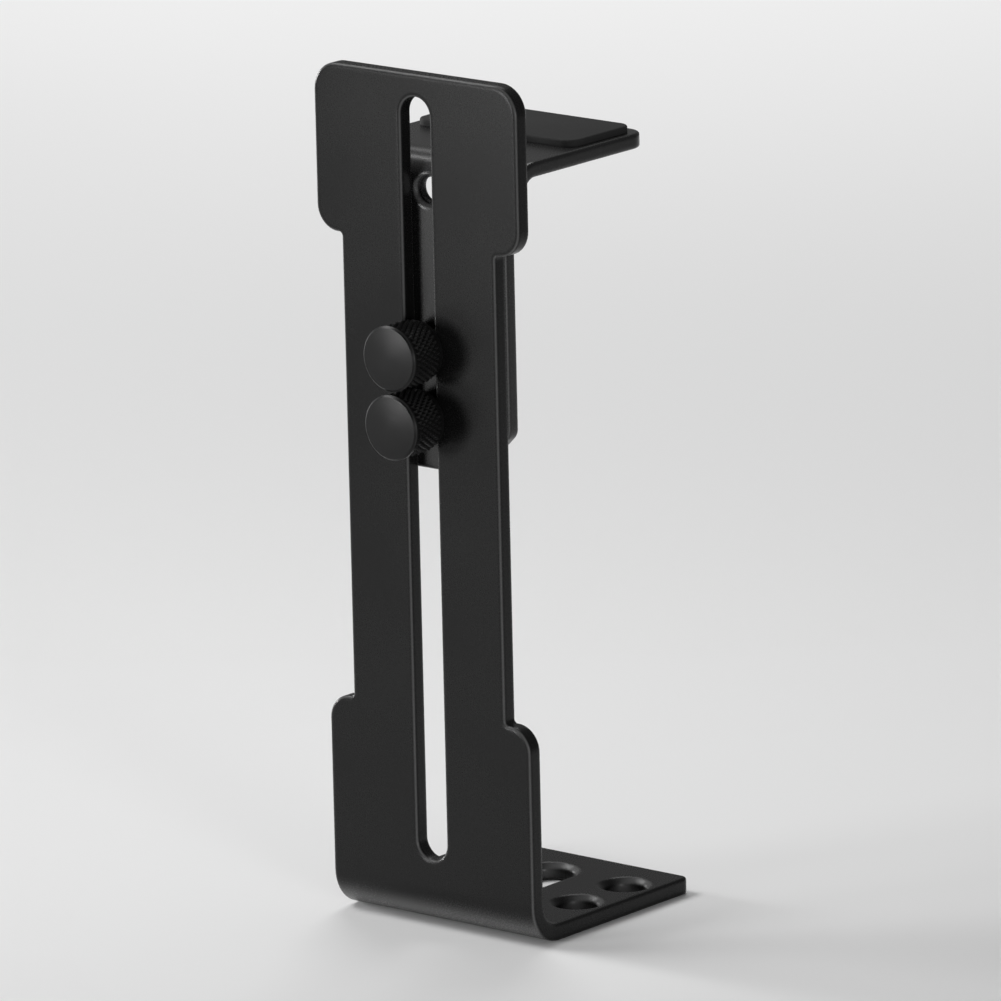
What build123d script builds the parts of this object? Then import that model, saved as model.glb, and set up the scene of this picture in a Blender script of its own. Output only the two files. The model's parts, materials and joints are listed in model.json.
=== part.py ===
from build123d import *
from math import cos, pi, sin
import os

os.makedirs("parts", exist_ok=True)

# Lengths are in millimetres. X runs across the bracket, Y from the front to the back, Z up.
# The origin is the centre of the foot's four screw holes, on the foot's underside.

# Thumb screws
screw_diameter = 4.0
upper_screw_drop = 39.8  # below the base plate's top, as set in use
screw_tip_protrusion = 1.6  # past the support plate's back
screw_tip_chamfer = 0.5
head_diameter = 9.5
head_gap = 0.5  # between the two heads
head_cap_thickness = 0.9  # plain disc at the front of the head
head_cap_chamfer = 0.3
head_groove_width = 0.3  # between the plain disc and the knurl
head_collar_length = 0.8  # plain collar that bears on the plate
head_collar_diameter = 8.6
knurl_depth = 0.32
knurl_count = 34  # diamonds around the head
knurl_half_rows = 8
knurl_row_length = 1.3  # length of one diamond along the head

# Fits
slot_play = 1.4  # slot width over the screw's diameter
thread_clearance = 0.05  # radial, between a screw and its tapped hole

# Sheet edges, softened by the coating
edge_round = 0.4
inside_corner_radius = 0.6
rounding_share = 1 / 3  # most of a wall that a rounding may take
smooth_angle = 60.0  # degrees, and faces that meet at more than this have a sharp edge
pick = 0.01  # slack when corners are picked by their place

# Base plate: front plate and foot, one folded sheet
base_thickness = 2.5
plate_height = 125.0
ear_width = 37.0
neck_setback = 4.5  # each side of the neck, in from the ears
top_ear_height = 24.5  # from the plate's top down to the neck
low_ear_height = 32.3  # from the foot's underside up to the neck
top_corner_radius = 4.2
ear_step_radius = 3.7
base_bend_radius = 3.5  # inside the fold
slot_top_web = 3.3  # plate left above the slot
slot_bottom_height = 10.2  # slot's lower end above the foot's underside
foot_length = 35.7  # front face to the foot's back edge
foot_corner_radius = 1.2
foot_hole_diameter = 6.4
foot_chamfer = 0.8  # round the foot's holes and slot
foot_chamfer_angle = 90.0
foot_hole_pitch = 11.0  # front row to back row
foot_hole_side_land = 0.9  # between a hole's chamfer and the foot's side
foot_hole_back_margin = 8.7
foot_slot_width = 7.8
foot_slot_margin = 5.5  # from the fold and from the foot's back edge

# Support plate: rear plate and card shelf, one folded sheet
support_thickness = 2.2
stem_tail = 7.9  # below the lower screw
stem_corner_cut = 6.6  # off each lower corner, at 45 degrees
stem_corner_radius = 2.0
shelf_rise = 27.8  # shelf's top above the upper screw
spare_hole_drop = 5.1  # spare tapped hole below the shelf's top
shelf_overhang = 2.0  # each side of the shelf, out from the stem
shelf_depth = 30.0  # front of the rear plate to the shelf's back edge
shelf_corner_radius = 3.0
support_bend_radius = 2.5  # inside the fold
shoulder_height = 9.5  # from the shelf's top down to the stem
shoulder_radius = 1.2
tapped_hole_chamfer = 0.55
tapped_hole_chamfer_angle = 90.0

# Shelf pad
pad_thickness = 1.0
pad_margin = 1.5  # from the shelf's sides and back edge
pad_front_margin = 10.0  # from the fold
pad_corner_radius = 2.0
pad_edge_round = 0.25

# Places worked out from the sizes above
front_y = foot_hole_back_margin + foot_hole_pitch / 2 - foot_length
foot_back_y = front_y + foot_length
support_front_y = front_y + base_thickness
support_back_y = support_front_y + support_thickness
shelf_back_y = support_front_y + shelf_depth
neck_width = ear_width - 2 * neck_setback
shelf_width = neck_width + 2 * shelf_overhang
hole_x = ear_width / 2 - foot_hole_side_land - foot_chamfer - foot_hole_diameter / 2
slot_width = screw_diameter + slot_play
tapped_radius = screw_diameter / 2 + thread_clearance
upper_screw_height = plate_height - upper_screw_drop
lower_screw_height = upper_screw_height - head_diameter - head_gap
shelf_top = upper_screw_height + shelf_rise
spare_hole_height = shelf_top - spare_hole_drop
support_fold_radius = support_bend_radius + support_thickness  # outside the fold
stem_bottom = lower_screw_height - stem_tail
knurl_length = knurl_half_rows * knurl_row_length / 2
knurl_root_radius = head_diameter / 2 - knurl_depth


def folded_sheet(front, back, free_end, fold, thickness, bend_radius, width):
    """Adds a sheet folded once: upright from free_end to fold, then level from front to back."""
    inner_fold = fold + thickness if free_end > fold else fold - thickness
    inner_front = front + thickness
    outside = [(front, free_end), (front, fold), (back, fold)]
    inside = [(inner_front, free_end), (inner_front, inner_fold), (back, inner_fold)]
    with BuildSketch(Plane.YZ) as side_view:
        with BuildLine():
            FilletPolyline(outside, radius=bend_radius + thickness)
            FilletPolyline(inside, radius=bend_radius)
            Line(outside[0], inside[0])
            Line(outside[-1], inside[-1])
        make_face()
    extrude(side_view.sketch, amount=width / 2, both=True)


def round_step(height, neck, width, radius):
    """Rounds the current outline where it steps out from its neck to its full width."""
    overhang = (width - neck) / 2
    inside_radius = min(inside_corner_radius, overhang * rounding_share)
    outside_radius = min(radius, overhang - inside_radius - pick)

    def corners_at(half_width):
        step = vertices().filter_by_position(Axis.Y, height - pick, height + pick)
        return step.filter_by(lambda v: abs(abs(v.X) - half_width) < pick)

    fillet(corners_at(width / 2), outside_radius)
    fillet(corners_at(neck / 2), inside_radius)


def sharp_edges(sheet):
    """Edges of a folded sheet's rim and cut-outs on both skins, without the smooth joins and fold lines."""

    def is_sharp(edge):
        middle = edge.position_at(0.5)
        first, second = (face.normal_at(middle) for face in sheet.faces() if edge in face.edges())
        return first.get_angle(second) > smooth_angle

    return sheet.edges().filter_by(is_sharp)


# Base plate: folded, cut to the front plate's outline, then slotted and drilled
with BuildPart() as base_plate:
    folded_sheet(front_y, foot_back_y, plate_height, 0, base_thickness, base_bend_radius, ear_width)
    neck_top = plate_height - top_ear_height
    with BuildSketch(Plane.XZ):
        Rectangle(ear_width, plate_height, align=(Align.CENTER, Align.MIN))
        with Locations((-ear_width / 2, low_ear_height), (ear_width / 2, low_ear_height)):
            neck_cut = neck_top - low_ear_height
            Rectangle(2 * neck_setback, neck_cut, align=(Align.CENTER, Align.MIN), mode=Mode.SUBTRACT)
        round_step(low_ear_height, neck_width, ear_width, ear_step_radius)
        round_step(neck_top, neck_width, ear_width, ear_step_radius)
        fillet(vertices().group_by(Axis.Y)[-1], top_corner_radius)
    extrude(amount=foot_length, both=True, mode=Mode.INTERSECT)
    with BuildSketch(Plane.XZ):
        slot_length = plate_height - slot_top_web - slot_bottom_height
        with Locations((0, slot_bottom_height + slot_length / 2)):
            SlotOverall(slot_length, slot_width, rotation=90)
    extrude(amount=foot_length, both=True, mode=Mode.SUBTRACT)
    with BuildSketch():
        foot_slot_front_y = support_front_y + base_bend_radius + foot_slot_margin
        foot_slot_length = foot_back_y - foot_slot_margin - foot_slot_front_y
        with Locations((0, foot_slot_front_y + foot_slot_length / 2)):
            SlotOverall(foot_slot_length, foot_slot_width, rotation=90)
    extrude(amount=base_thickness, mode=Mode.SUBTRACT)
    foot_top = base_plate.faces().filter_by_position(Axis.Z, base_thickness - pick, base_thickness + pick)
    chamfer(foot_top[0].inner_wires().edges(), min(foot_chamfer, base_thickness * rounding_share))
    fillet(base_plate.edges().filter_by(Axis.Z).group_by(Axis.Y)[-1], foot_corner_radius)
    fillet(sharp_edges(base_plate), min(edge_round, base_thickness * rounding_share))
    with Locations((0, 0, base_thickness)):
        with GridLocations(2 * hole_x, foot_hole_pitch, 2, 2):
            CounterSinkHole(
                foot_hole_diameter / 2,
                foot_hole_diameter / 2 + foot_chamfer,
                base_thickness,
                foot_chamfer_angle,
            )
base_plate.part.label = "base_plate"
export_step(base_plate.part, "parts/base_plate.step")

# Support plate: folded the other way for the shelf, cut to its outline, then tapped
with BuildPart() as support_plate:
    folded_sheet(
        support_front_y,
        shelf_back_y,
        stem_bottom,
        shelf_top,
        support_thickness,
        support_bend_radius,
        shelf_width,
    )
    with BuildSketch(Plane.XZ):
        with Locations((0, stem_bottom)):
            Rectangle(neck_width, shelf_top - stem_bottom, align=(Align.CENTER, Align.MIN))
        with Locations((0, shelf_top)):
            Rectangle(shelf_width, shoulder_height, align=(Align.CENTER, Align.MAX))
        round_step(shelf_top - shoulder_height, neck_width, shelf_width, shoulder_radius)
        chamfer(vertices().group_by(Axis.Y)[0], stem_corner_cut)
        cut_ends = vertices().sort_by(Axis.Y)[:4]
        fillet(cut_ends, stem_corner_radius)
    extrude(amount=foot_length + shelf_depth, both=True, mode=Mode.INTERSECT)
    fillet(support_plate.edges().filter_by(Axis.Z).group_by(Axis.Y)[-1], shelf_corner_radius)
    fillet(sharp_edges(support_plate), min(edge_round, support_thickness * rounding_share))
    with Locations(Plane.XZ.offset(-support_front_y)):
        with Locations((0, lower_screw_height), (0, upper_screw_height), (0, spare_hole_height)):
            CounterSinkHole(
                tapped_radius,
                tapped_radius + tapped_hole_chamfer,
                support_fold_radius,  # deep enough where the fold starts
                tapped_hole_chamfer_angle,
            )
support_plate.part.label = "support_plate"
export_step(support_plate.part, "parts/support_plate.step")

# Shelf pad, a die-cut sheet on the flat of the shelf
pad_front_y = support_front_y + support_fold_radius + pad_front_margin
pad_depth = shelf_back_y - pad_margin - pad_front_y
with BuildPart() as shelf_pad:
    with BuildSketch(Plane.XY.offset(shelf_top)):
        with Locations((0, pad_front_y + pad_depth / 2)):
            RectangleRounded(shelf_width - 2 * pad_margin, pad_depth, pad_corner_radius)
    extrude(amount=pad_thickness)
    fillet(shelf_pad.faces().sort_by(Axis.Z)[-1].edges(), pad_edge_round)
shelf_pad.part.label = "shelf_pad"
export_step(shelf_pad.part, "parts/shelf_pad.step")


def knurl_sleeve(start_y, height):
    """Solid sleeve of diamond pyramids round a screw's axis, from start_y towards the front.

    Two sets of opposite grooves cross on rings of points at the root radius. Each diamond between
    four crossings rises to a point, and half diamonds close the sleeve's two ends.
    """
    step = 2 * pi / knurl_count

    def place(row, turn, radius):
        return Vector(
            radius * sin(turn * step),
            start_y - row * knurl_row_length / 2,
            height + radius * cos(turn * step),
        )

    def crossing(row, index):
        return place(row, index + (row % 2) / 2, knurl_root_radius)

    def triangle(a, b, c):
        return Face(Wire.make_polygon([a, b, c]))

    skin = []
    for row in range(knurl_half_rows + 1):
        shift = row % 2
        for index in range(knurl_count):
            left = crossing(row, index)
            right = crossing(row, index + 1)
            nearer = crossing(row - 1, index + shift)
            further = crossing(row + 1, index + shift)
            if row == 0:
                skin.append(triangle(left, right, further))
            elif row == knurl_half_rows:
                skin.append(triangle(left, nearer, right))
            else:
                point = place(row, index + (shift + 1) / 2, head_diameter / 2)
                corners = [left, nearer, right, further]
                for first, second in zip(corners, corners[1:] + corners[:1]):
                    skin.append(triangle(first, second, point))
    for row in (0, knurl_half_rows):
        skin.append(Face(Wire.make_polygon([crossing(row, index) for index in range(knurl_count)])))
    return Solid(Shell(skin))


# Thumb screws: turned blank with a plain front disc, and a knurled sleeve round its middle
knurl_start_y = front_y - head_collar_length
cap_back_y = knurl_start_y - knurl_length - head_groove_width
cap_front_y = cap_back_y - head_cap_thickness
tip_y = support_back_y + screw_tip_protrusion
groove_radius = knurl_root_radius - head_groove_width
for name, height in (("upper_screw", upper_screw_height), ("lower_screw", lower_screw_height)):
    with BuildPart() as thumb_screw:
        with BuildSketch(Plane.XY.offset(height)):
            with BuildLine():
                Polyline(
                    (0, tip_y),
                    (screw_diameter / 2 - screw_tip_chamfer, tip_y),
                    (screw_diameter / 2, tip_y - screw_tip_chamfer),
                    (screw_diameter / 2, front_y),
                    (head_collar_diameter / 2, front_y),
                    (head_collar_diameter / 2, knurl_start_y),
                    (groove_radius, knurl_start_y),
                    (groove_radius, cap_back_y),
                    (head_diameter / 2, cap_back_y),
                    (head_diameter / 2, cap_front_y + head_cap_chamfer),
                    (head_diameter / 2 - head_cap_chamfer, cap_front_y),
                    (0, cap_front_y),
                    close=True,
                )
            make_face()
        revolve(axis=Axis((0, 0, height), (0, 1, 0)))
        add(knurl_sleeve(knurl_start_y, height))
    thumb_screw.part.label = name
    export_step(thumb_screw.part, f"parts/{name}.step")
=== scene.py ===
"""Dresses the support bracket: coated sheet metal, turned thumb screws and a rubber pad on the shelf.

Lengths are in metres. X runs across the bracket, Y from the front to the back and Z up.
"""

import json
import logging
import math
from dataclasses import dataclass, field
from enum import Enum
from typing import Any, Callable, Dict, List, Mapping, Optional, Sequence, Tuple, Union

import bmesh
import bpy
from mathutils import Matrix, Vector

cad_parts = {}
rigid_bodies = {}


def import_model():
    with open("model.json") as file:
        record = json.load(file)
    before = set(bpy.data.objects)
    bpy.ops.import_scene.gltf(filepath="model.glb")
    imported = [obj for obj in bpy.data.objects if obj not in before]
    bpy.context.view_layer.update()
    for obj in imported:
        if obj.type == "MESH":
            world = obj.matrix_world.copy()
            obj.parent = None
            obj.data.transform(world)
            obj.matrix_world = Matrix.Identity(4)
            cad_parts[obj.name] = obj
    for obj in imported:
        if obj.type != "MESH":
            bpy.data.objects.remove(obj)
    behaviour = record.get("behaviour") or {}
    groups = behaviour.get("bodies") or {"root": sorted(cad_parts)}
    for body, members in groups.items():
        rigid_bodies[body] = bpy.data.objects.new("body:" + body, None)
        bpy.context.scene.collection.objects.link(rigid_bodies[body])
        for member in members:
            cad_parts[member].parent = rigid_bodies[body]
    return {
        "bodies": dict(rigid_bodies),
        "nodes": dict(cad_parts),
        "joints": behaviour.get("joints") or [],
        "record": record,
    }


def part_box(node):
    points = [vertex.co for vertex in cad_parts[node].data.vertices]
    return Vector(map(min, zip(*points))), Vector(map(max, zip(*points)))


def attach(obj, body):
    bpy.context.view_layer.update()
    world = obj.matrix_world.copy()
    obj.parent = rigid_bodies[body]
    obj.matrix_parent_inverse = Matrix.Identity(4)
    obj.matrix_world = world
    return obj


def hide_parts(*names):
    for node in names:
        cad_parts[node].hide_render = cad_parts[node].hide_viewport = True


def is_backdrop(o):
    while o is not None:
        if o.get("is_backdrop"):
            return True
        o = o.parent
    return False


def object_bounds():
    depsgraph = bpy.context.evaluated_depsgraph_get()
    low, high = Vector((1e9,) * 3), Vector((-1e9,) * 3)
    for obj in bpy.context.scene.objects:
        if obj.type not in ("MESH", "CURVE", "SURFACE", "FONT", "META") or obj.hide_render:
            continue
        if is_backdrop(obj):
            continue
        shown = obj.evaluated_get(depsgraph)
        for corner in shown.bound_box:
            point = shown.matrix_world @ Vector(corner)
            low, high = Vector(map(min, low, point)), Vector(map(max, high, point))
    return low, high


LOG = logging.getLogger("bracket")
MM = 0.001
QUARTER_TURN = math.pi / 2
FULL_TURN = 2 * math.pi
MERGE_DISTANCE = 0.001 * MM
PICK_SLACK = 0.01 * MM
THREAD_PITCH = 0.7 * MM
NOISE_MIDDLE = 0.5
XZ_ONLY = (1.0, 0.0, 1.0)
OPEN_SPREAD = 180.0

Colour = Tuple[float, float, float, float]
Station = Tuple[float, float]


class Part(Enum):
    """The kind of mesh part that a selection picks."""

    VERT = "VERT"
    EDGE = "EDGE"
    FACE = "FACE"


class Thread(Enum):
    """Which way a thread's crest points."""

    OUTWARD = 1
    INWARD = -1


def grey(level: float) -> Colour:
    """Returns an opaque neutral colour of this linear level."""
    return (level, level, level, 1.0)


def direction(azimuth: float, elevation: float) -> Vector:
    """Gives the way from the bracket to a viewer or lamp.

    Args:
        azimuth: Degrees round from the front towards +X.
        elevation: Degrees above the horizon.

    Returns:
        A unit vector.
    """
    turn, lift = math.radians(azimuth), math.radians(elevation)
    return Vector((math.sin(turn) * math.cos(lift), -math.cos(turn) * math.cos(lift), math.sin(lift)))


class Workbench:
    """Modelling steps that every new piece shares, all on the piece that is being worked on."""

    HELIX_STEPS = 40
    RUN_OUT = 0.15

    @staticmethod
    def clear() -> None:
        """Leaves edit mode and deselects every object."""
        if bpy.context.mode != "OBJECT":
            bpy.ops.object.mode_set(mode="OBJECT")
        bpy.ops.object.select_all(action="DESELECT")

    @classmethod
    def hold(cls, piece: bpy.types.Object) -> None:
        """Makes a piece the only selected and active object."""
        cls.clear()
        piece.select_set(True)
        bpy.context.view_layer.objects.active = piece

    @staticmethod
    def open() -> None:
        """Enters edit mode on the active piece."""
        bpy.ops.object.mode_set(mode="EDIT")

    @staticmethod
    def close() -> None:
        """Leaves edit mode."""
        bpy.ops.object.mode_set(mode="OBJECT")

    @staticmethod
    def pick(kind: Part, test: Callable[[Any], bool]) -> int:
        """Selects the parts of the open piece that pass a test, and no others.

        Args:
            kind: Whether vertices, edges or faces are tested.
            test: Takes a bmesh element and says whether it is wanted.

        Returns:
            How many parts were selected.
        """
        bpy.ops.mesh.select_mode(type=kind.value)
        bpy.ops.mesh.select_all(action="DESELECT")
        mesh = bpy.context.edit_object.data
        form = bmesh.from_edit_mesh(mesh)
        elements = {Part.VERT: form.verts, Part.EDGE: form.edges, Part.FACE: form.faces}[kind]
        wanted = [element for element in elements if test(element)]
        for element in wanted:
            element.select_set(True)
        bmesh.update_edit_mesh(mesh)
        return len(wanted)

    @staticmethod
    def extrude(move: Vector) -> None:
        """Extrudes the selected region by a move."""
        bpy.ops.mesh.extrude_region_move(TRANSFORM_OT_translate={"value": tuple(move)})

    @staticmethod
    def scale(factors: Sequence[float], centre: Vector) -> None:
        """Scales the selection about a point."""
        bpy.ops.transform.resize(value=tuple(factors), center_override=tuple(centre))

    @staticmethod
    def apply_place(piece: bpy.types.Object) -> None:
        """Puts a piece's place, turn and scale into its mesh."""
        Workbench.hold(piece)
        bpy.ops.object.transform_apply(location=True, rotation=True, scale=True)

    @staticmethod
    def apply(piece: bpy.types.Object, kind: str, settings: Mapping[str, Any]) -> None:
        """Adds one modifier with its settings and applies it.

        Args:
            piece: The object that the modifier shapes.
            kind: The modifier's type.
            settings: Attribute names and values of the modifier.
        """
        Workbench.hold(piece)
        modifier = piece.modifiers.new(kind.title(), kind)
        for name, value in settings.items():
            setattr(modifier, name, value)
        bpy.ops.object.modifier_apply(modifier=modifier.name)

    @classmethod
    def clean(cls, piece: bpy.types.Object, crease: float) -> None:
        """Merges doubles, turns every face outwards and smooths all but the sharp edges.

        Args:
            piece: The finished mesh.
            crease: Angle in radians past which an edge stays sharp.
        """
        cls.hold(piece)
        cls.open()
        bpy.ops.mesh.select_all(action="SELECT")
        bpy.ops.mesh.remove_doubles(threshold=MERGE_DISTANCE)
        bpy.ops.mesh.normals_make_consistent(inside=False)
        cls.close()
        bpy.ops.object.shade_smooth_by_angle(angle=crease)

    @classmethod
    def turned(cls, name: str, sides: int, stations: Sequence[Station]) -> bpy.types.Object:
        """Models a turned piece along Z by extruding a disc from station to station.

        Args:
            name: The object's name.
            sides: Corners of the disc.
            stations: Heights and radii, from the lowest disc to the highest.

        Returns:
            The closed piece, left open for editing.
        """
        cls.clear()
        height, radius = stations[0]
        bpy.ops.mesh.primitive_circle_add(
            vertices=sides, radius=radius, fill_type="NGON", location=(0, 0, height)
        )
        piece = bpy.context.object
        piece.name = name
        cls.apply_place(piece)
        cls.open()
        bpy.ops.mesh.select_all(action="SELECT")
        for next_height, next_radius in stations[1:]:
            cls.extrude(Vector((0, 0, next_height - height)))
            share = next_radius / radius
            cls.scale((share, share, 1), Vector((0, 0, next_height)))
            height, radius = next_height, next_radius
        return piece

    @staticmethod
    def ridge_height(width: float) -> float:
        """Returns the height of a thread's ridge, whose section has three sides of this width."""
        return width * math.sqrt(3) / 2

    @classmethod
    def helix(
        cls,
        name: str,
        crest: float,
        width: float,
        pitch: float,
        start: float,
        turns: int,
        way: Thread,
    ) -> bpy.types.Object:
        """Models a thread's ridge round Z: a three-cornered section swept along a helix.

        Args:
            name: The object's name.
            crest: Radius of the ridge's crest.
            width: Width of the ridge's root along the axis.
            pitch: Rise of one turn.
            start: Height of the section at the start.
            turns: Whole turns.
            way: Whether the crest points outwards or inwards.

        Returns:
            The closed ridge.
        """
        cls.clear()
        corner_radius = width / math.sqrt(3)
        middle = crest - way.value * corner_radius
        bpy.ops.mesh.primitive_circle_add(
            vertices=3,
            radius=corner_radius,
            fill_type="NOTHING",
            location=(middle, 0, start),
            rotation=(QUARTER_TURN, way.value * QUARTER_TURN, 0),
        )
        ridge = bpy.context.object
        ridge.name = name
        cls.apply_place(ridge)
        cls.apply(
            ridge,
            "SCREW",
            {
                "axis": "Z",
                "angle": FULL_TURN,
                "screw_offset": pitch,
                "iterations": turns,
                "steps": cls.HELIX_STEPS,
                "render_steps": cls.HELIX_STEPS,
            },
        )
        cls.hold(ridge)
        cls.open()
        root = crest - way.value * cls.ridge_height(width)
        for height in (start, start + turns * pitch):
            cls.run_out(Vector((root, 0, height)), width)
        cls.close()
        return ridge

    @classmethod
    def run_out(cls, end: Vector, width: float) -> None:
        """Closes one end of the open ridge and thins it, so that the thread fades out.

        Args:
            end: The middle of the ridge's root at that end.
            width: Width of the ridge's root along the axis.
        """
        cls.pick(
            Part.EDGE,
            lambda edge: edge.is_boundary
            and all(abs(v.co.z - end.z) < width and abs(v.co.y) < PICK_SLACK for v in edge.verts),
        )
        bpy.ops.mesh.edge_face_add()
        cls.scale((1, 1, cls.RUN_OUT), end)


class Wire:
    """An output socket that takes part in arithmetic, each step adding a Math node."""

    def __init__(self, board: "NodeBoard", socket: bpy.types.NodeSocket) -> None:
        """Keeps the socket and the board that it is on."""
        self.board = board
        self.socket = socket

    def __add__(self, other: "Value") -> "Wire":
        """Adds."""
        return self.board.maths("ADD", self, other)

    def __radd__(self, other: "Value") -> "Wire":
        """Adds to a number."""
        return self.board.maths("ADD", other, self)

    def __sub__(self, other: "Value") -> "Wire":
        """Subtracts."""
        return self.board.maths("SUBTRACT", self, other)

    def __rsub__(self, other: "Value") -> "Wire":
        """Subtracts from a number."""
        return self.board.maths("SUBTRACT", other, self)

    def __mul__(self, other: "Value") -> "Wire":
        """Multiplies."""
        return self.board.maths("MULTIPLY", self, other)

    def __rmul__(self, other: "Value") -> "Wire":
        """Multiplies a number."""
        return self.board.maths("MULTIPLY", other, self)

    def __lt__(self, other: "Value") -> "Wire":
        """Gives 1 where smaller, else 0."""
        return self.board.maths("LESS_THAN", self, other)

    def __gt__(self, other: "Value") -> "Wire":
        """Gives 1 where larger, else 0."""
        return self.board.maths("GREATER_THAN", self, other)


Value = Union[Wire, float]


class NodeBoard:
    """A node tree that is wired up from Python.

    The Mix node's sockets for colours go by number, because its other kinds have the same names.
    """

    RIM_SAMPLES = 8
    MIX_SHARE = 0
    MIX_LOW = 6
    MIX_HIGH = 7
    MIX_RESULT = 2

    def __init__(self, tree: bpy.types.NodeTree) -> None:
        """Empties the tree."""
        self.tree = tree
        self.tree.nodes.clear()

    def node(
        self,
        kind: str,
        settings: Optional[Mapping[str, Any]] = None,
        sockets: Optional[Mapping[Union[str, int], Any]] = None,
        output: Union[str, int] = 0,
    ) -> Optional[Wire]:
        """Adds one node.

        Args:
            kind: The node's type.
            settings: Its attributes, set first.
            sockets: Values or wires for its inputs, by name or number.
            output: The output that is handed back.

        Returns:
            The chosen output, or nothing where the node has none.
        """
        made = self.tree.nodes.new(kind)
        for name, value in (settings or {}).items():
            setattr(made, name, value)
        for key, value in (sockets or {}).items():
            if isinstance(value, Wire):
                self.tree.links.new(value.socket, made.inputs[key])
            else:
                made.inputs[key].default_value = value
        return Wire(self, made.outputs[output]) if made.outputs else None

    def maths(self, operation: str, first: Value, second: Value) -> Wire:
        """Adds one Math node on two values and returns its result."""
        return self.node("ShaderNodeMath", {"operation": operation}, {0: first, 1: second})

    def noise(self, place: Wire, size: float, detail: float = 2.0) -> Wire:
        """Adds a noise pattern whose blotches are about this size, and returns its value from 0 to 1."""
        sockets = {"Vector": place, "Scale": 1 / size, "Detail": detail}
        return self.node("ShaderNodeTexNoise", None, sockets)

    def blend(self, share: Value, low: Union[Wire, Colour], high: Colour) -> Wire:
        """Mixes two colours by a share and returns the colour."""
        sockets = {self.MIX_SHARE: share, self.MIX_LOW: low, self.MIX_HIGH: high}
        return self.node("ShaderNodeMix", {"data_type": "RGBA"}, sockets, self.MIX_RESULT)

    def halfway(self, cosine: Wire) -> Wire:
        """Squares the sine of twice an angle: 1 at 45 degrees, falling to 0 at 0 and at 90."""
        square = cosine * cosine
        return 4 * square * (1 - square)

    def soft_rim(self, radius: float) -> Wire:
        """Adds a Bevel node that rounds the shading of rims to this radius and returns its normal."""
        return self.node("ShaderNodeBevel", {"samples": self.RIM_SAMPLES}, {"Radius": radius})

    def bump(self, height: Wire, depth: float, strength: float, under: Optional[Wire] = None) -> Wire:
        """Adds a Bump node for a relief of this depth.

        Args:
            height: The relief, from 0 to 1.
            depth: Its depth.
            strength: How much of it shows.
            under: The normal that it is laid on, where that isn't the surface's own.

        Returns:
            The normal.
        """
        sockets: Dict[str, Any] = {"Height": height, "Distance": depth, "Strength": strength}
        if under is not None:
            sockets["Normal"] = under
        return self.node("ShaderNodeBump", None, sockets)

    def surface(self, sockets: Mapping[str, Any]) -> None:
        """Adds the Principled shader with these inputs and joins it to the output."""
        shader = self.node("ShaderNodeBsdfPrincipled", None, sockets)
        self.node("ShaderNodeOutputMaterial", None, {"Surface": shader})


def new_material(name: str) -> Tuple[bpy.types.Material, NodeBoard]:
    """Makes an empty node material.

    Args:
        name: The material's name.

    Returns:
        The material and the board of its nodes.
    """
    material = bpy.data.materials.new(name)
    material.use_nodes = True
    return material, NodeBoard(material.node_tree)


@dataclass(frozen=True)
class PowderCoat:
    """Satin black powder coat on the folded sheets, with its slight orange peel and a painted highlight on
    the rims and the bottom fold.
    """

    name: str = "powder_coat"
    dark: float = 0.0055
    light: float = 0.0075
    # Colour of the painted highlight on the rims and the bottom fold.
    painted_rim_highlight: float = 0.095
    roughness: float = 0.27
    roughness_spread: float = 0.05
    specular: float = 0.20
    rim_radius: float = 0.8 * MM
    cloud_size: float = 18 * MM
    peel_size: float = 0.9 * MM
    grain_size: float = 0.16 * MM
    grain_detail: float = 1.0
    peel_share: float = 0.65
    depth: float = 0.010 * MM
    strength: float = 0.14

    def material(self) -> bpy.types.Material:
        """Builds the coat and returns it."""
        material, board = new_material(self.name)
        place = board.node("ShaderNodeTexCoord", output="Object")
        cloud = board.noise(place, self.cloud_size)
        peel = board.noise(place, self.peel_size)
        grain = board.noise(place, self.grain_size, self.grain_detail)
        relief = peel * self.peel_share + grain * (1 - self.peel_share)
        rim = board.soft_rim(self.rim_radius)
        facing = board.node("ShaderNodeSeparateXYZ", None, {"Vector": rim}, "Y")
        # Painted highlight: the coat is lightened where the rounded rim normal leans halfway away from the
        # front or back, which brightens the rims and the bottom fold.
        rim_highlight_share = board.halfway(facing)
        coat = board.blend(cloud, grey(self.dark), grey(self.light))
        board.surface(
            {
                "Base Color": board.blend(rim_highlight_share * rim_highlight_share, coat, grey(self.painted_rim_highlight)),
                "Roughness": self.roughness + (cloud + grain - 2 * NOISE_MIDDLE) * self.roughness_spread,
                "Specular IOR Level": self.specular,
                "Normal": board.bump(relief, self.depth, self.strength, rim),
            }
        )
        return material


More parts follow.
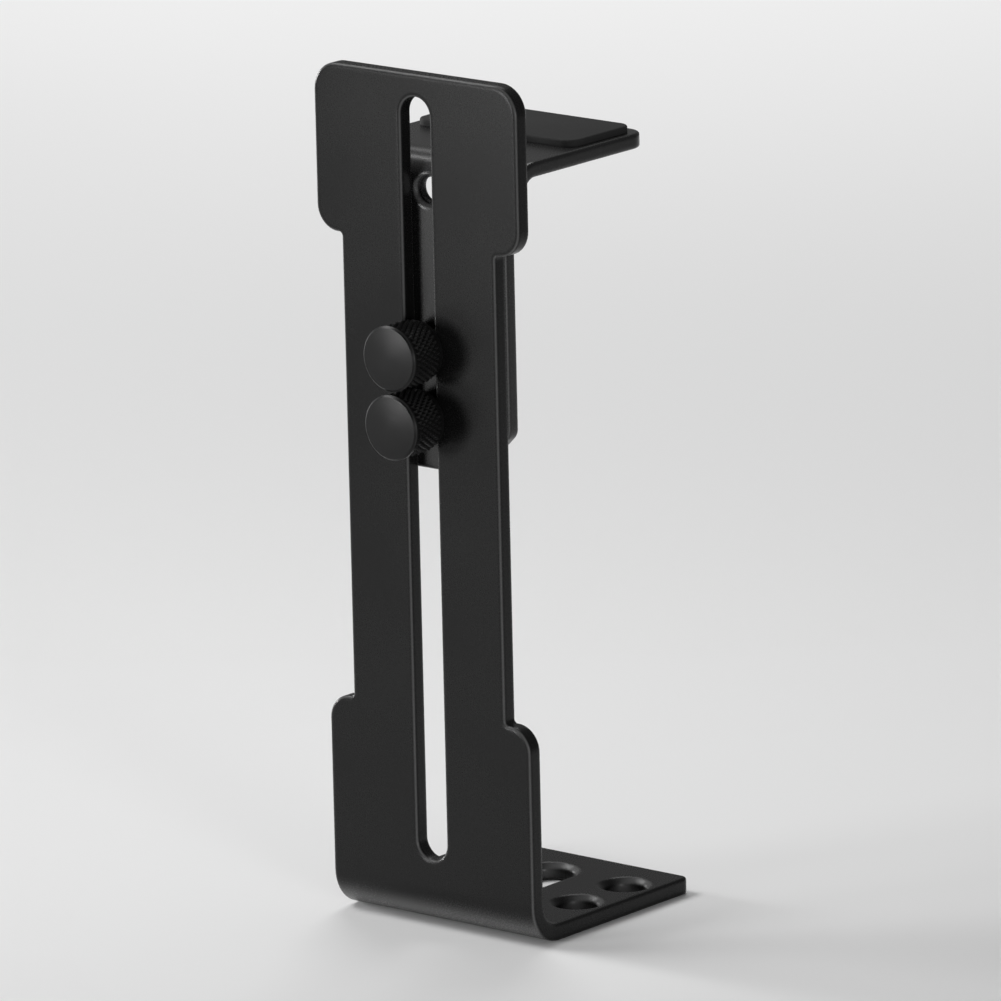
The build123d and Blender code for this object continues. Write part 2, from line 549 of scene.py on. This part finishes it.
@dataclass(frozen=True)
class BlackTurned:
    """Black finish on the turned screws, with tool marks in rings on the front of the head."""

    name: str
    axis: Vector
    face_y: float
    face_depth: float
    crest_radius: float
    dark: float = 0.0065
    worn: float = 0.026
    roughness: float = 0.32
    ring_roughness: float = 0.10
    specular: float = 0.20
    ring_size: float = 0.11 * MM
    ring_detail: float = 2.0
    grain_size: float = 0.09 * MM
    worn_band: float = 0.09 * MM
    depth: float = 0.010 * MM
    strength: float = 0.8

    def material(self) -> bpy.types.Material:
        """Builds the finish round the screw's own axis and returns it."""
        material, board = new_material(self.name)
        place = board.node("ShaderNodeTexCoord", output="Object")
        centred = board.node("ShaderNodeMapping", None, {"Vector": place, "Location": -self.axis})
        across = board.node("ShaderNodeVectorMath", {"operation": "MULTIPLY"}, {0: centred, 1: XZ_ONLY})
        radius = board.node("ShaderNodeVectorMath", {"operation": "LENGTH"}, {0: across}, "Value")
        depth_along = board.node("ShaderNodeSeparateXYZ", None, {"Vector": place}, "Y")
        on_face = depth_along < self.face_y + self.face_depth
        rings = board.node(
            "ShaderNodeTexNoise",
            {"noise_dimensions": "1D"},
            {"W": radius, "Scale": 1 / self.ring_size, "Detail": self.ring_detail},
        )
        grain = board.noise(place, self.grain_size)
        worn = (radius > self.crest_radius - self.worn_band) * grain
        relief = rings * on_face + grain * (1 - on_face)
        board.surface(
            {
                "Base Color": board.blend(worn, grey(self.dark), grey(self.worn)),
                "Roughness": self.roughness + (rings - NOISE_MIDDLE) * on_face * self.ring_roughness,
                "Specular IOR Level": self.specular,
                "Normal": board.bump(relief, self.depth, self.strength),
            }
        )
        return material


@dataclass(frozen=True)
class PadRubber:
    """Matt black rubber sheet with a fine calendered grain."""

    name: str = "pad_rubber"
    dark: float = 0.016
    light: float = 0.024
    roughness: float = 0.78
    roughness_spread: float = 0.14
    specular: float = 0.3
    cloud_size: float = 6 * MM
    grain_size: float = 0.22 * MM
    depth: float = 0.03 * MM
    strength: float = 0.6

    def material(self) -> bpy.types.Material:
        """Builds the rubber and returns it."""
        material, board = new_material(self.name)
        place = board.node("ShaderNodeTexCoord", output="Object")
        cloud = board.noise(place, self.cloud_size)
        grain = board.noise(place, self.grain_size)
        board.surface(
            {
                "Base Color": board.blend(cloud, grey(self.dark), grey(self.light)),
                "Roughness": self.roughness + (grain - NOISE_MIDDLE) * self.roughness_spread,
                "Specular IOR Level": self.specular,
                "Normal": board.bump(grain, self.depth, self.strength),
            }
        )
        return material


@dataclass(frozen=True)
class FloorPaint:
    """Pale matt studio floor."""

    name: str = "studio_floor"
    level: float = 0.86
    roughness: float = 0.9

    def material(self) -> bpy.types.Material:
        """Builds the paint and returns it."""
        material, board = new_material(self.name)
        board.surface({"Base Color": grey(self.level), "Roughness": self.roughness})
        return material


@dataclass
class SheetPlates:
    """The two folded plates, which keep their own solids and get the powder coat."""

    coats: Mapping[str, PowderCoat] = field(
        default_factory=lambda: {
            "base_plate": PowderCoat(),
            "support_plate": PowderCoat(name="smooth_coat", specular=0.5, strength=0.15),
        }
    )

    def dress(self, frame: Mapping[str, Any]) -> Dict[str, bpy.types.Material]:
        """Coats both plates.

        Args:
            frame: What the loaded frame holds.

        Returns:
            The coat of each plate, by its node.
        """
        materials = {node: coat.material() for node, coat in self.coats.items()}
        for node, material in materials.items():
            for slot in frame["nodes"][node].material_slots:
                slot.material = material
            LOG.info("coated %s", node)
        return materials


@dataclass
class ThumbScrew:
    """One knurled thumb screw, modelled upright with its tip at the origin and then laid in place."""

    body: str
    slot: str = "black_screw"
    knurl_count: int = 34
    knurl_rows: int = 8
    knurl_row: float = 0.65 * MM
    knurl_depth: float = 0.32 * MM
    knurl_flat: float = 0.07 * MM
    cap_thickness: float = 0.9 * MM
    cap_chamfer: float = 0.3 * MM
    crown: float = 0.24 * MM
    crown_rings: int = 6
    groove_width: float = 0.3 * MM
    groove_depth: float = 0.3 * MM
    collar_length: float = 0.8 * MM
    collar_radius: float = 4.3 * MM
    edge_break: float = 0.1 * MM
    tip_chamfer: float = 0.2 * MM
    thread_radius: float = 2.0 * MM
    thread_core: float = 1.6 * MM
    thread_pitch: float = THREAD_PITCH
    thread_turns: int = 8
    thread_lead: float = 0.3 * MM
    thread_width: float = 0.62 * MM
    crease: float = math.radians(25)
    low: Vector = field(default_factory=Vector)
    high: Vector = field(default_factory=Vector)

    def __post_init__(self) -> None:
        """Reads the screw's place from its solid."""
        self.low, self.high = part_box(self.body)

    @property
    def axis(self) -> Vector:
        """Point on the screw's axis at its tip."""
        middle = (self.low + self.high) / 2
        return Vector((middle.x, self.high.y, middle.z))

    @property
    def head_radius(self) -> float:
        """Radius of the plain front disc and of the knurl's crests."""
        return (self.high.x - self.low.x) / 2

    @property
    def length(self) -> float:
        """Whole length from the tip to the front of the head."""
        return self.high.y - self.low.y

    @property
    def root_radius(self) -> float:
        """Radius at the bottom of the knurl's grooves."""
        return self.head_radius - self.knurl_depth

    @property
    def knurl_columns(self) -> int:
        """Columns of the knurl's grid: each crest of a row and each groove between two crests."""
        return 2 * self.knurl_count

    @property
    def knurl_end(self) -> float:
        """Height of the knurl's upper end above the tip."""
        return self.length - self.cap_thickness - self.groove_width

    @property
    def knurl_start(self) -> float:
        """Height of the knurl's lower end above the tip."""
        return self.knurl_end - self.knurl_rows * self.knurl_row

    @property
    def seat(self) -> float:
        """Height of the face under the head above the tip."""
        return self.knurl_start - self.collar_length

    def stations(self) -> List[Station]:
        """Lists the heights and radii of the turned blank, from the tip to the front disc."""
        groove_radius = self.root_radius - self.groove_depth
        cap_back = self.knurl_end + self.groove_width
        ease = self.edge_break
        shank = [
            (0.0, self.thread_core - self.tip_chamfer),
            (self.tip_chamfer, self.thread_core),
            (self.seat, self.thread_core),
        ]
        collar = [
            (self.seat, self.collar_radius - ease),
            (self.seat + ease, self.collar_radius),
            (self.knurl_start - ease, self.collar_radius),
            (self.knurl_start, self.collar_radius - ease),
        ]
        rows = range(self.knurl_rows + 1)
        knurl = [(self.knurl_start + row * self.knurl_row, self.root_radius) for row in rows]
        cap = [
            (self.knurl_end, groove_radius),
            (cap_back, groove_radius),
            (cap_back, self.head_radius - ease),
            (cap_back + ease, self.head_radius),
            (self.length - self.crown - self.cap_chamfer, self.head_radius),
        ]
        face_radius = self.head_radius - self.cap_chamfer
        shares = [1 - ring / self.crown_rings for ring in range(self.crown_rings)]
        face = [(self.length - self.crown * share**2, face_radius * share) for share in shares]
        face.append((self.length, ease))
        return shank + collar + knurl + cap + face

    def is_crest(self, corner: Any) -> bool:
        """Says whether a vertex of the knurl's grid stands between the grooves."""
        row = round((corner.co.z - self.knurl_start) / self.knurl_row)
        column = round(math.atan2(corner.co.x, corner.co.y) / FULL_TURN * self.knurl_columns)
        on_skin = corner.co.xy.length > self.root_radius - self.edge_break
        return 0 < row < self.knurl_rows and on_skin and (row + column) % 2 == 1

    def cut_knurl(self) -> None:
        """Raises diamonds between the crossing grooves all round the open blank and flattens their tips."""
        share = self.head_radius / self.root_radius
        Workbench.pick(Part.VERT, self.is_crest)
        Workbench.scale((share, share, 1), Vector((0, 0, 0)))
        low = self.knurl_start - PICK_SLACK
        high = self.knurl_end + PICK_SLACK
        inner = self.root_radius - PICK_SLACK
        Workbench.pick(
            Part.FACE,
            lambda face: all(low < v.co.z < high and v.co.xy.length > inner for v in face.verts),
        )
        bpy.ops.mesh.quads_convert_to_tris(quad_method="SHORTEST_DIAGONAL")
        Workbench.pick(Part.VERT, self.is_crest)
        bpy.ops.mesh.bevel(offset=self.knurl_flat, affect="VERTICES", segments=1)

    def build(self) -> bpy.types.Object:
        """Models the screw and lays it along Y on its own axis.

        Returns:
            The finished screw.
        """
        screw = Workbench.turned(f"{self.body}_turned", self.knurl_columns, self.stations())
        self.cut_knurl()
        Workbench.close()
        ridge = Workbench.helix(
            "thread_ridge",
            crest=self.thread_radius,
            width=self.thread_width,
            pitch=self.thread_pitch,
            start=self.thread_lead + self.thread_width / 2,
            turns=self.thread_turns,
            way=Thread.OUTWARD,
        )
        Workbench.clean(screw, self.crease)
        Workbench.clean(ridge, self.crease)
        Workbench.apply(screw, "BOOLEAN", {"operation": "UNION", "solver": "EXACT", "object": ridge})
        bpy.data.objects.remove(ridge)
        screw.rotation_euler = (QUARTER_TURN, 0, 0)
        screw.location = self.axis
        Workbench.apply_place(screw)
        Workbench.clean(screw, self.crease)
        return screw

    def copy_of(self, other: bpy.types.Object, other_axis: Vector) -> bpy.types.Object:
        """Copies another screw with a mesh of its own, and moves it to this screw's axis.

        Args:
            other: The finished screw.
            other_axis: That screw's own axis point.

        Returns:
            The copy.
        """
        Workbench.hold(other)
        bpy.ops.object.duplicate(linked=False)
        screw = bpy.context.object
        screw.name = f"{self.body}_turned"
        screw.location = self.axis - other_axis
        Workbench.apply_place(screw)
        screw.data.materials.clear()
        return screw

    def dress(self, screw: bpy.types.Object) -> None:
        """Finishes a screw, puts it on its body and stands it in for the solid.

        Args:
            screw: This screw's mesh, in place.
        """
        finish = BlackTurned(
            f"{self.body}_finish",
            axis=self.axis,
            face_y=self.low.y,
            face_depth=self.crown + PICK_SLACK,
            crest_radius=self.head_radius,
        )
        screw.data.materials.append(finish.material())
        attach(screw, self.body)
        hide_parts(self.body)
        LOG.info("modelled %s with %d faces", screw.name, len(screw.data.polygons))


@dataclass
class SpareThread:
    """The thread that shows in the support plate's spare tapped hole."""

    body: str = "support"
    slot: str = "coated_steel"
    plate: str = "support_plate"
    drop: float = 5.1 * MM
    plate_thickness: float = 2.2 * MM
    hole_radius: float = 2.05 * MM
    chamfer: float = 0.55 * MM
    pitch: float = THREAD_PITCH
    turns: int = 1
    width: float = 0.5 * MM
    lead: float = 0.125 * MM
    embed: float = 0.06 * MM
    crease: float = math.radians(25)

    def build(self) -> bpy.types.Object:
        """Models the ridge upright, lays it in the hole and returns it."""
        ridge = Workbench.helix(
            "spare_hole_thread",
            crest=self.hole_radius + self.embed - Workbench.ridge_height(self.width),
            width=self.width,
            pitch=self.pitch,
            start=self.chamfer + self.lead,
            turns=self.turns,
            way=Thread.INWARD,
        )
        low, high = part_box(self.plate)
        ridge.rotation_euler = (QUARTER_TURN, 0, 0)
        ridge.location = (0, low.y + self.plate_thickness, high.z - self.drop)
        Workbench.apply_place(ridge)
        Workbench.clean(ridge, self.crease)
        return ridge

    def dress(self, ridge: bpy.types.Object, material: bpy.types.Material) -> None:
        """Coats the ridge and puts it on the support.

        Args:
            ridge: The thread's mesh, in place.
            material: The plate's own coat.
        """
        ridge.data.materials.append(material)
        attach(ridge, self.body)
        LOG.info("modelled %s", ridge.name)


@dataclass
class ShelfPad:
    """The die-cut rubber pad on the shelf."""

    node: str = "shelf_pad"
    body: str = "support"
    slot: str = "pad_rubber"
    corner_radius: float = 2.0 * MM
    top_round: float = 0.3 * MM
    corner_segments: int = 10
    round_segments: int = 4
    crease: float = math.radians(40)
    rubber: PadRubber = PadRubber()

    def build(self) -> bpy.types.Object:
        """Models the pad from a block in the solid's place and returns it."""
        low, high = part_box(self.node)
        Workbench.clear()
        bpy.ops.mesh.primitive_cube_add(size=1, location=(low + high) / 2)
        pad = bpy.context.object
        pad.name = "rubber_pad"
        pad.scale = high - low
        Workbench.apply_place(pad)
        Workbench.open()
        Workbench.pick(
            Part.EDGE, lambda edge: abs(edge.verts[0].co.z - edge.verts[1].co.z) > self.top_round
        )
        bpy.ops.mesh.bevel(offset=self.corner_radius, segments=self.corner_segments, affect="EDGES")
        Workbench.pick(Part.EDGE, lambda edge: all(v.co.z > high.z - PICK_SLACK for v in edge.verts))
        bpy.ops.mesh.bevel(offset=self.top_round, segments=self.round_segments, affect="EDGES")
        Workbench.close()
        Workbench.clean(pad, self.crease)
        return pad

    def dress(self, pad: bpy.types.Object) -> None:
        """Finishes the pad, puts it on the support and stands it in for the solid.

        Args:
            pad: The pad's mesh, in place.
        """
        pad.data.materials.append(self.rubber.material())
        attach(pad, self.body)
        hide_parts(self.node)
        LOG.info("modelled %s", pad.name)


@dataclass(frozen=True)
class Softbox:
    """One soft lamp that points at the middle of the bracket, or at a place beside it."""

    name: str
    azimuth: float
    elevation: float
    distance: float
    size: float
    level: float
    aside: Tuple[float, float, float] = (0.0, 0.0, 0.0)
    spread: float = OPEN_SPREAD

    @property
    def focus(self) -> float:
        """How much a narrow spread brightens the light along the lamp's axis."""
        if self.spread >= OPEN_SPREAD:
            return 1.0
        half = math.radians(self.spread) / 2
        return math.tan(half) / (math.tan(half) - half)

    @property
    def power(self) -> float:
        """Power at which a matt white face at the target, turned to the lamp, is as bright as the level."""
        return math.pi**2 * self.level * self.distance**2 / self.focus

    def place(self, target: Vector) -> None:
        """Adds the lamp.

        Args:
            target: The middle of the bracket.
        """
        lamp_data = bpy.data.lights.new(self.name, "AREA")
        lamp_data.shape = "SQUARE"
        lamp_data.size = self.size
        lamp_data.spread = math.radians(self.spread)
        lamp_data.energy = self.power
        lamp = bpy.data.objects.new(self.name, lamp_data)
        lamp.visible_camera = False
        bpy.context.scene.collection.objects.link(lamp)
        away = direction(self.azimuth, self.elevation)
        lamp.location = target + Vector(self.aside) + away * self.distance
        lamp.rotation_euler = away.to_track_quat("Z", "Y").to_euler()
        LOG.info("lamp %s", self.name)


@dataclass
class Studio:
    """Pale floor, soft lamps and an even grey surround."""

    floor_size: float = 30.0
    floor_gap: float = 0.02 * MM
    surround: float = 0.17
    lamps: Sequence[Softbox] = (
        Softbox("key", azimuth=-28.0, elevation=4.0, distance=0.5, size=0.12, level=0.50, spread=60.0),
        Softbox("soft", azimuth=-69.0, elevation=48.0, distance=0.75, size=0.35, level=0.75, spread=50.0),
        Softbox("left", azimuth=-84.0, elevation=5.0, distance=0.8, size=0.15, level=0.60, spread=90.0),
        Softbox(
            "floor",
            azimuth=-140.0,
            elevation=88.0,
            distance=1.0,
            size=0.6,
            level=1.20,
            aside=(-0.50, 0.60, -0.06),
            spread=105.0,
        ),
        Softbox("rim", azimuth=62.0, elevation=4.0, distance=0.8, size=0.16, level=0.30, spread=100.0),
    )
    paint: FloorPaint = FloorPaint()

    def build(self, target: Vector) -> None:
        """Adds the floor, the lamps and the surround.

        Args:
            target: The middle of the bracket.
        """
        Workbench.clear()
        bpy.ops.mesh.primitive_plane_add(size=self.floor_size, location=(0, 0, -self.floor_gap))
        floor = bpy.context.object
        floor.name = "floor"
        floor.data.materials.append(self.paint.material())
        floor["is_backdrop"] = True
        for lamp in self.lamps:
            lamp.place(target)
        world = bpy.data.worlds.new("surround")
        world.use_nodes = True
        board = NodeBoard(world.node_tree)
        light = board.node("ShaderNodeBackground", None, {"Color": grey(1.0), "Strength": self.surround})
        board.node("ShaderNodeOutputWorld", None, {"Surface": light})
        bpy.context.scene.world = world
        bpy.context.scene.view_settings.view_transform = "Standard"
        LOG.info("studio built")


@dataclass
class ProductCamera:
    """Camera at the photograph's viewing angle and distance from a stand point, framed on the bracket."""

    azimuth: float = 40.07
    elevation: float = 13.98
    roll: float = -1.29
    distance: float = 1.548
    stand: Vector = field(default_factory=lambda: Vector((0, -21.5 * MM, 62 * MM)))
    sensor: float = 36.0
    fill: float = 0.88
    rounds: int = 4
    clip_factor: float = 100.0

    def build(self, corners: Sequence[Vector]) -> None:
        """Adds the camera and frames it.

        Args:
            corners: Points that have to be in view.
        """
        data = bpy.data.cameras.new("camera")
        data.sensor_width = self.sensor
        camera = bpy.data.objects.new("camera", data)
        bpy.context.scene.collection.objects.link(camera)
        eye = self.stand + direction(self.azimuth, self.elevation) * self.distance
        roll = Matrix.Rotation(math.radians(self.roll), 3, "Z")
        aim = self.stand
        spread = 0.0
        for _ in range(self.rounds):
            turn = (eye - aim).to_track_quat("Z", "Y").to_matrix() @ roll
            seen = [turn.transposed() @ (corner - eye) for corner in corners]
            across = [point.x / -point.z for point in seen]
            upward = [point.y / -point.z for point in seen]
            middle = Vector(((max(across) + min(across)) / 2, (max(upward) + min(upward)) / 2, 0))
            spread = max(max(across) - min(across), max(upward) - min(upward))
            aim = aim + turn @ (middle * self.distance)
        camera.location = eye
        camera.rotation_euler = turn.to_euler()
        data.lens = self.sensor * self.fill / spread
        data.clip_start = self.distance / self.clip_factor
        data.clip_end = self.distance * self.clip_factor
        bpy.context.scene.camera = camera
        LOG.info("camera framed with a %.0f mm lens", data.lens)


def main() -> None:
    """Builds and dresses each piece in order."""
    logging.basicConfig(level=logging.INFO, format="%(name)s: %(message)s")
    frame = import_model()
    cad_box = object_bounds()
    corners = [v.co.copy() for node in frame["nodes"].values() for v in node.data.vertices]

    coats = SheetPlates().dress(frame)

    upper = ThumbScrew("upper_screw")
    lower = ThumbScrew("lower_screw")
    upper_mesh = upper.build()
    lower_mesh = lower.copy_of(upper_mesh, upper.axis)
    upper.dress(upper_mesh)
    lower.dress(lower_mesh)

    spare = SpareThread()
    spare.dress(spare.build(), coats[spare.plate])

    pad = ShelfPad()
    pad.dress(pad.build())

    low, high = cad_box
    Studio().build((low + high) / 2)
    ProductCamera().build(corners)


if __name__ == "__main__":
    main()
